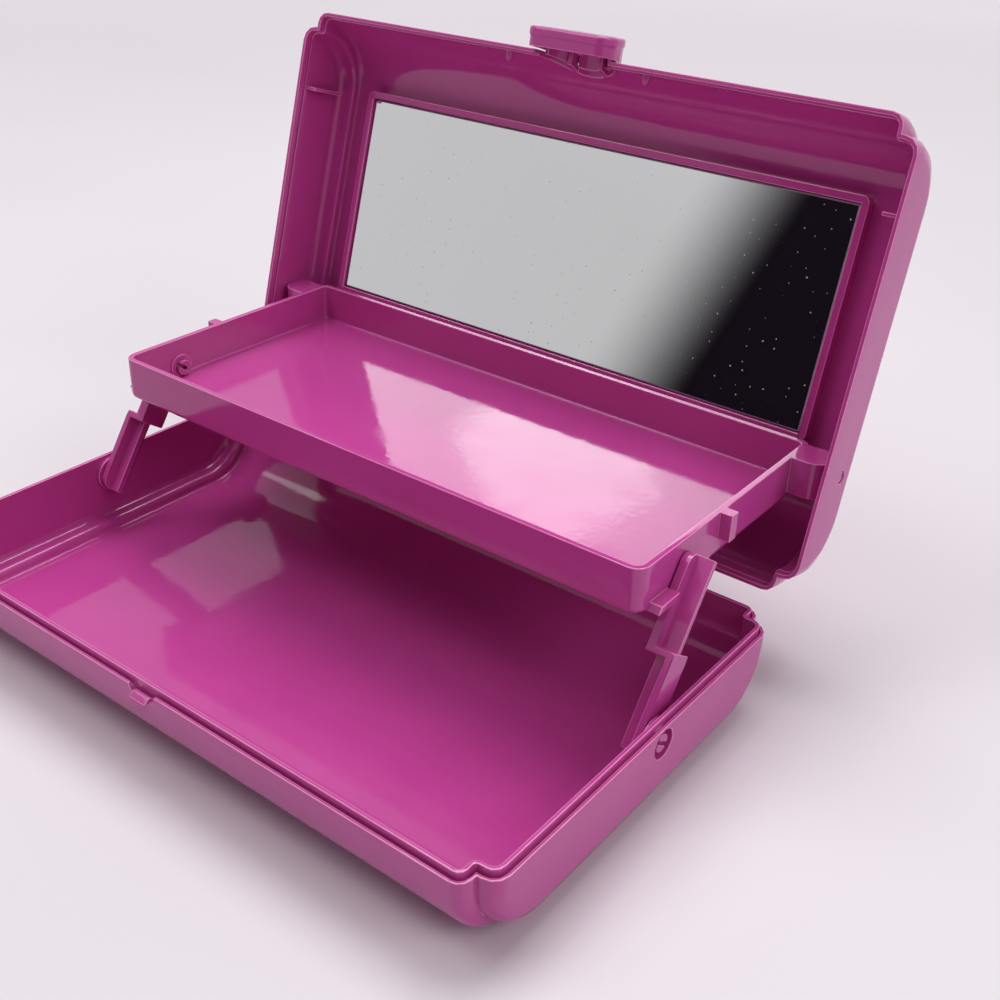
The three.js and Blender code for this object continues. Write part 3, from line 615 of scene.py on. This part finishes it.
@dataclass
class CaseBase(Piece):
    """The lower shell with its rim, catch and hinge brackets, and the hinge pins."""

    plastic: bpy.types.Material
    steel: bpy.types.Material
    rounding: EdgeRounding = field(default_factory=EdgeRounding)
    pin_rounding: EdgeRounding = field(default_factory=lambda: EdgeRounding(radius=0.0002))

    def build(self) -> None:
        """Builds the shell and its pins."""
        tub = self.eased("base_shell", "base_tub", self.rounding, self.plastic)
        self.settle(tub, Body.BASE, Slot.PLASTIC, "base_shell")
        for side in ("left", "right"):
            node = f"hinge_pin_{side}"
            pin = self.eased(node, f"hinge_wire_{side}", self.pin_rounding, self.steel)
            self.settle(pin, Body.BASE, Slot.STEEL, node)


@dataclass
class CaseLid(Piece):
    """The upper shell with its mirror frame, fins and latch lugs, and the latch pin."""

    plastic: bpy.types.Material
    steel: bpy.types.Material
    rounding: EdgeRounding = field(default_factory=EdgeRounding)
    pin_rounding: EdgeRounding = field(default_factory=lambda: EdgeRounding(radius=0.00015))

    def build(self) -> None:
        """Builds the shell and the latch pin."""
        cover = self.eased("lid_shell", "lid_cover", self.rounding, self.plastic)
        self.settle(cover, Body.LID, Slot.PLASTIC, "lid_shell")
        pin = self.eased("latch_pin", "latch_wire", self.pin_rounding, self.steel)
        self.settle(pin, Body.LID, Slot.STEEL, "latch_pin")


@dataclass
class LidMirror(Piece):
    """The mirror plate with its seamed edges, and the tape behind it."""

    silver: bpy.types.Material
    glass_edge: bpy.types.Material
    tape: bpy.types.Material
    seam: float = 0.0005
    tape_rounding: EdgeRounding = field(default_factory=lambda: EdgeRounding(radius=0.0002))

    def plate(self) -> bpy.types.Object:
        """Models the plate as a slab with ground edges.

        Returns:
            The plate, not yet on a body.
        """
        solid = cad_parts["mirror_glass"].data
        lean = self.lean(solid)
        upright = [lean.inverted() @ v.co for v in solid.vertices]
        least = Vector([min(c[i] for c in upright) for i in range(3)])
        most = Vector([max(c[i] for c in upright) for i in range(3)])
        shape = bmesh.new()
        bmesh.ops.create_cube(shape, size=1.0)
        bmesh.ops.scale(shape, vec=most - least, verts=shape.verts[:])
        bmesh.ops.translate(shape, vec=(most + least) / 2, verts=shape.verts[:])
        bmesh.ops.bevel(
            shape, geom=shape.edges[:], offset=self.seam, offset_type="OFFSET", segments=1, profile=0.5,
            affect="EDGES", material=-1,
        )
        bmesh.ops.transform(shape, matrix=lean, verts=shape.verts[:])
        materials = (self.silver, self.glass_edge)
        for face in shape.faces:
            face.material_index = materials.index(self.glass_edge)
        flats = sorted(shape.faces, key=lambda f: f.calc_area())[-2:]
        for face in flats:
            face.material_index = materials.index(self.silver)
        mesh = mesh_of(shape, "mirror_plate")
        for material in materials:
            mesh.materials.append(material)
        return link_object("mirror_plate", mesh)

    @staticmethod
    def lean(solid: bpy.types.Mesh) -> Matrix:
        """Finds how the plate leans.

        Args:
            solid: The mesh of the flat plate.

        Returns:
            The turn about X from an upright plate to this one.
        """
        rear = max((p for p in solid.polygons if p.normal.y > 0.0), key=lambda p: p.area).normal
        return Matrix.Rotation(math.atan2(rear.z, rear.y), 4, "X")

    def build(self) -> None:
        """Builds the plate and the tape."""
        self.settle(self.plate(), Body.LID, Slot.MIRROR, "mirror_glass")
        tape = self.eased("mirror_adhesive", "mirror_tape", self.tape_rounding, self.tape)
        self.settle(tape, Body.LID, Slot.TAPE, "mirror_adhesive")


@dataclass
class LiftTray(Piece):
    """The shallow tray with its ears, ribs and stops."""

    plastic: bpy.types.Material
    rounding: EdgeRounding = field(default_factory=EdgeRounding)

    def build(self) -> None:
        """Builds the tray."""
        tray = self.eased("tray", "lift_tray", self.rounding, self.plastic)
        self.settle(tray, Body.TRAY, Slot.PLASTIC, "tray")


@dataclass
class SupportArms(Piece):
    """The two stepped arms, stiffened by fins, that carry the tray."""

    plastic: bpy.types.Material
    rounding: EdgeRounding = field(default_factory=lambda: EdgeRounding(radius=0.0002))

    def build(self) -> None:
        """Builds both arms."""
        for side, body in (("left", Body.ARM_LEFT), ("right", Body.ARM_RIGHT)):
            node = f"support_arm_{side}"
            arm = self.eased(node, f"lift_arm_{side}", self.rounding, self.plastic)
            self.settle(arm, body, Slot.PLASTIC, node)


@dataclass
class FrontLatch(Piece):
    """The latch with its plain inlaid plate."""

    plastic: bpy.types.Material
    inlay: bpy.types.Material
    rounding: EdgeRounding = field(default_factory=lambda: EdgeRounding(radius=0.0002))

    def build(self) -> None:
        """Builds the latch and its plate."""
        button = self.eased("latch_button", "latch_cap", self.rounding, self.plastic)
        self.settle(button, Body.LATCH, Slot.PLASTIC, "latch_button")
        plate = self.eased("latch_inlay", "latch_plate", self.rounding, self.inlay)
        self.settle(plate, Body.LATCH, Slot.INLAY, "latch_inlay")


@dataclass(frozen=True)
class SoftLamp:
    """A square soft lamp that faces a point."""

    name: str
    place: Point
    aim: Point
    size: float
    power: float
    tint: Colour = (1.0, 0.985, 0.99)

    def hang(self) -> None:
        """Hangs the lamp."""
        lamp = bpy.data.lights.new(self.name, "AREA")
        lamp.shape = "SQUARE"
        lamp.size = self.size
        lamp.energy = self.power
        lamp.color = self.tint
        holder = link_object(self.name, lamp)
        holder.location = self.place
        holder.rotation_euler = (Vector(self.aim) - Vector(self.place)).to_track_quat("-Z", "Y").to_euler()


@dataclass
class Studio:
    """The pale floor, the soft light and the camera."""

    floor: bpy.types.Material
    card: bpy.types.Material
    room: PaleRoom
    floor_size: float = 12.0
    lamps: tuple[SoftLamp, ...] = (
        SoftLamp("overhead", (-0.3, 0.7, 2.0), (0.0, 0.0, 0.05), 1.2, 26.0),
        SoftLamp("front_box", (-0.6, -0.4, 1.15), (0.0, 0.05, 0.06), 0.75, 4.4),
        SoftLamp("front_core", (-0.64, -0.38, 1.1), (0.0, 0.05, 0.06), 0.22, 0.34),
        SoftLamp("side_fill", (1.2, 0.0, 0.9), (0.0, 0.0, 0.08), 0.8, 5.0, (1.0, 0.98, 1.0)),
    )
    card_centre: Point = (0.06, 0.115, 0.0)
    card_distance: float = 0.9
    card_angles: tuple[float, ...] = (34.5, 27.0, -25.0)
    card_lean: float = 6.0
    card_span: Span = (0.02, 0.45)
    camera_place: Point = (0.2395, -0.2335, 0.2444)
    yaw: float = math.radians(36.75)
    pitch: float = math.radians(29.50)
    roll: float = math.radians(2.05)
    focal_pixels: float = 1281.9
    frame_pixels: float = 1000.0
    sensor: float = 36.0
    nearest: float = 0.01

    def lay_floor(self) -> None:
        """Lays the pale floor."""
        shape = bmesh.new()
        bmesh.ops.create_grid(shape, x_segments=4, y_segments=4, size=self.floor_size / 2)
        mesh = mesh_of(shape, "pale_floor")
        mesh.materials.append(self.floor)
        link_object("pale_floor", mesh)

    def hang_card(self) -> None:
        """Hangs the dark card in front of the case that shades the right of the mirror."""
        shape = bmesh.new()
        mark = shape.verts.layers.float.new(FADE_MARK)
        columns = []
        for order, angle in enumerate(self.card_angles):
            ends = []
            for height, lean in zip(self.card_span, (0.0, self.card_lean)):
                way = math.radians(angle - lean)
                end = shape.verts.new(Vector((-math.sin(way), -math.cos(way), 0.0)) * self.card_distance)
                end.co.z = height
                end[mark] = 0.0 if order == 0 else 1.0
                ends.append(end)
            columns.append(ends)
        for (low, high), (next_low, next_high) in zip(columns, columns[1:]):
            shape.faces.new((low, next_low, next_high, high))
        bmesh.ops.translate(shape, vec=self.card_centre, verts=shape.verts[:])
        mesh = mesh_of(shape, "dark_card")
        mesh.materials.append(self.card)
        card = link_object("dark_card", mesh)
        card.visible_camera = False
        card.visible_diffuse = False
        card.visible_shadow = False

    def set_camera(self) -> None:
        """Sets the camera at the photograph's viewing angle."""
        forward = Vector((
            -math.sin(self.yaw) * math.cos(self.pitch),
            math.cos(self.yaw) * math.cos(self.pitch),
            -math.sin(self.pitch),
        ))
        right = Vector((math.cos(self.yaw), math.sin(self.yaw), 0.0))
        up = right.cross(forward)
        across = right * math.cos(self.roll) + up * math.sin(self.roll)
        upward = up * math.cos(self.roll) - right * math.sin(self.roll)
        turn = Matrix((across, upward, -forward)).transposed()
        camera = bpy.data.cameras.new("photo_view")
        camera.sensor_width = self.sensor
        camera.lens = self.focal_pixels / self.frame_pixels * self.sensor
        camera.clip_start = self.nearest
        holder = link_object("photo_view", camera)
        holder.matrix_world = Matrix.Translation(self.camera_place) @ turn.to_4x4()
        bpy.context.scene.camera = holder

    def build(self) -> None:
        """Builds the whole surroundings."""
        self.lay_floor()
        self.room.set_up()
        for lamp in self.lamps:
            lamp.hang()
        self.hang_card()
        self.set_camera()
        bpy.context.scene.view_settings.view_transform = "Standard"


def write_sizes() -> None:
    """Writes nothing; the boxes of the solids and of the dressed case are not written."""
    log.info("boxes written")


def main() -> None:
    """Dresses the case and sets it in its studio."""
    logging.basicConfig(level=logging.INFO, format="%(name)s: %(message)s")
    plastic = MouldedPlastic(
        name="magenta_moulding",
        colour=(0.55, 0.066, 0.325),
        deep=(0.51, 0.057, 0.298),
        # edge: the paler colour of the painted highlight on convex edges.
        edge=(0.80, 0.26, 0.53),
    ).material()
    inlay = MouldedPlastic(
        name="plum_inlay",
        colour=(0.20, 0.03, 0.13),
        deep=(0.17, 0.022, 0.11),
        # edge: the paler colour of the painted highlight on convex edges.
        edge=(0.32, 0.08, 0.22),
        glow=0.05,
    ).material()
    silver = SilveredGlass(
        name="silvered_face",
        silver=(0.90, 0.91, 0.91),
        dust=(0.75, 0.75, 0.76),
    ).material()
    glass_edge = GrainedSolid(
        name="ground_glass_edge",
        light=(0.62, 0.70, 0.67),
        dark=(0.45, 0.55, 0.52),
        grain=(900.0, 900.0, 900.0),
        roughness=(0.2, 0.4),
    ).material()
    steel = GrainedSolid(
        name="drawn_wire",
        light=(0.66, 0.67, 0.68),
        dark=(0.50, 0.51, 0.53),
        grain=(60.0, 2500.0, 2500.0),
        roughness=(0.22, 0.4),
        metallic=1.0,
    ).material()
    tape = GrainedSolid(
        name="foam_tape",
        light=(0.80, 0.77, 0.72),
        dark=(0.68, 0.65, 0.60),
        grain=(1800.0, 1800.0, 1800.0),
        roughness=(0.8, 0.95),
        bump=0.5,
    ).material()
    room = PaleRoom()
    floor = PalePaper(
        name="pale_paper",
        light=(0.80, 0.765, 0.80),
        dark=(0.76, 0.725, 0.76),
        room=room,
    ).material()
    card = FadingFelt(name="dark_felt", colour=(0.008, 0.005, 0.009)).material()
    for assembly in (
        CaseBase(plastic, steel),
        CaseLid(plastic, steel),
        LidMirror(silver, glass_edge, tape),
        LiftTray(plastic),
        SupportArms(plastic),
        FrontLatch(plastic, inlay),
        Studio(floor, card, room),
    ):
        assembly.build()
        log.info("%s built", type(assembly).__name__)
    write_sizes()


if __name__ == "__main__":
    main()
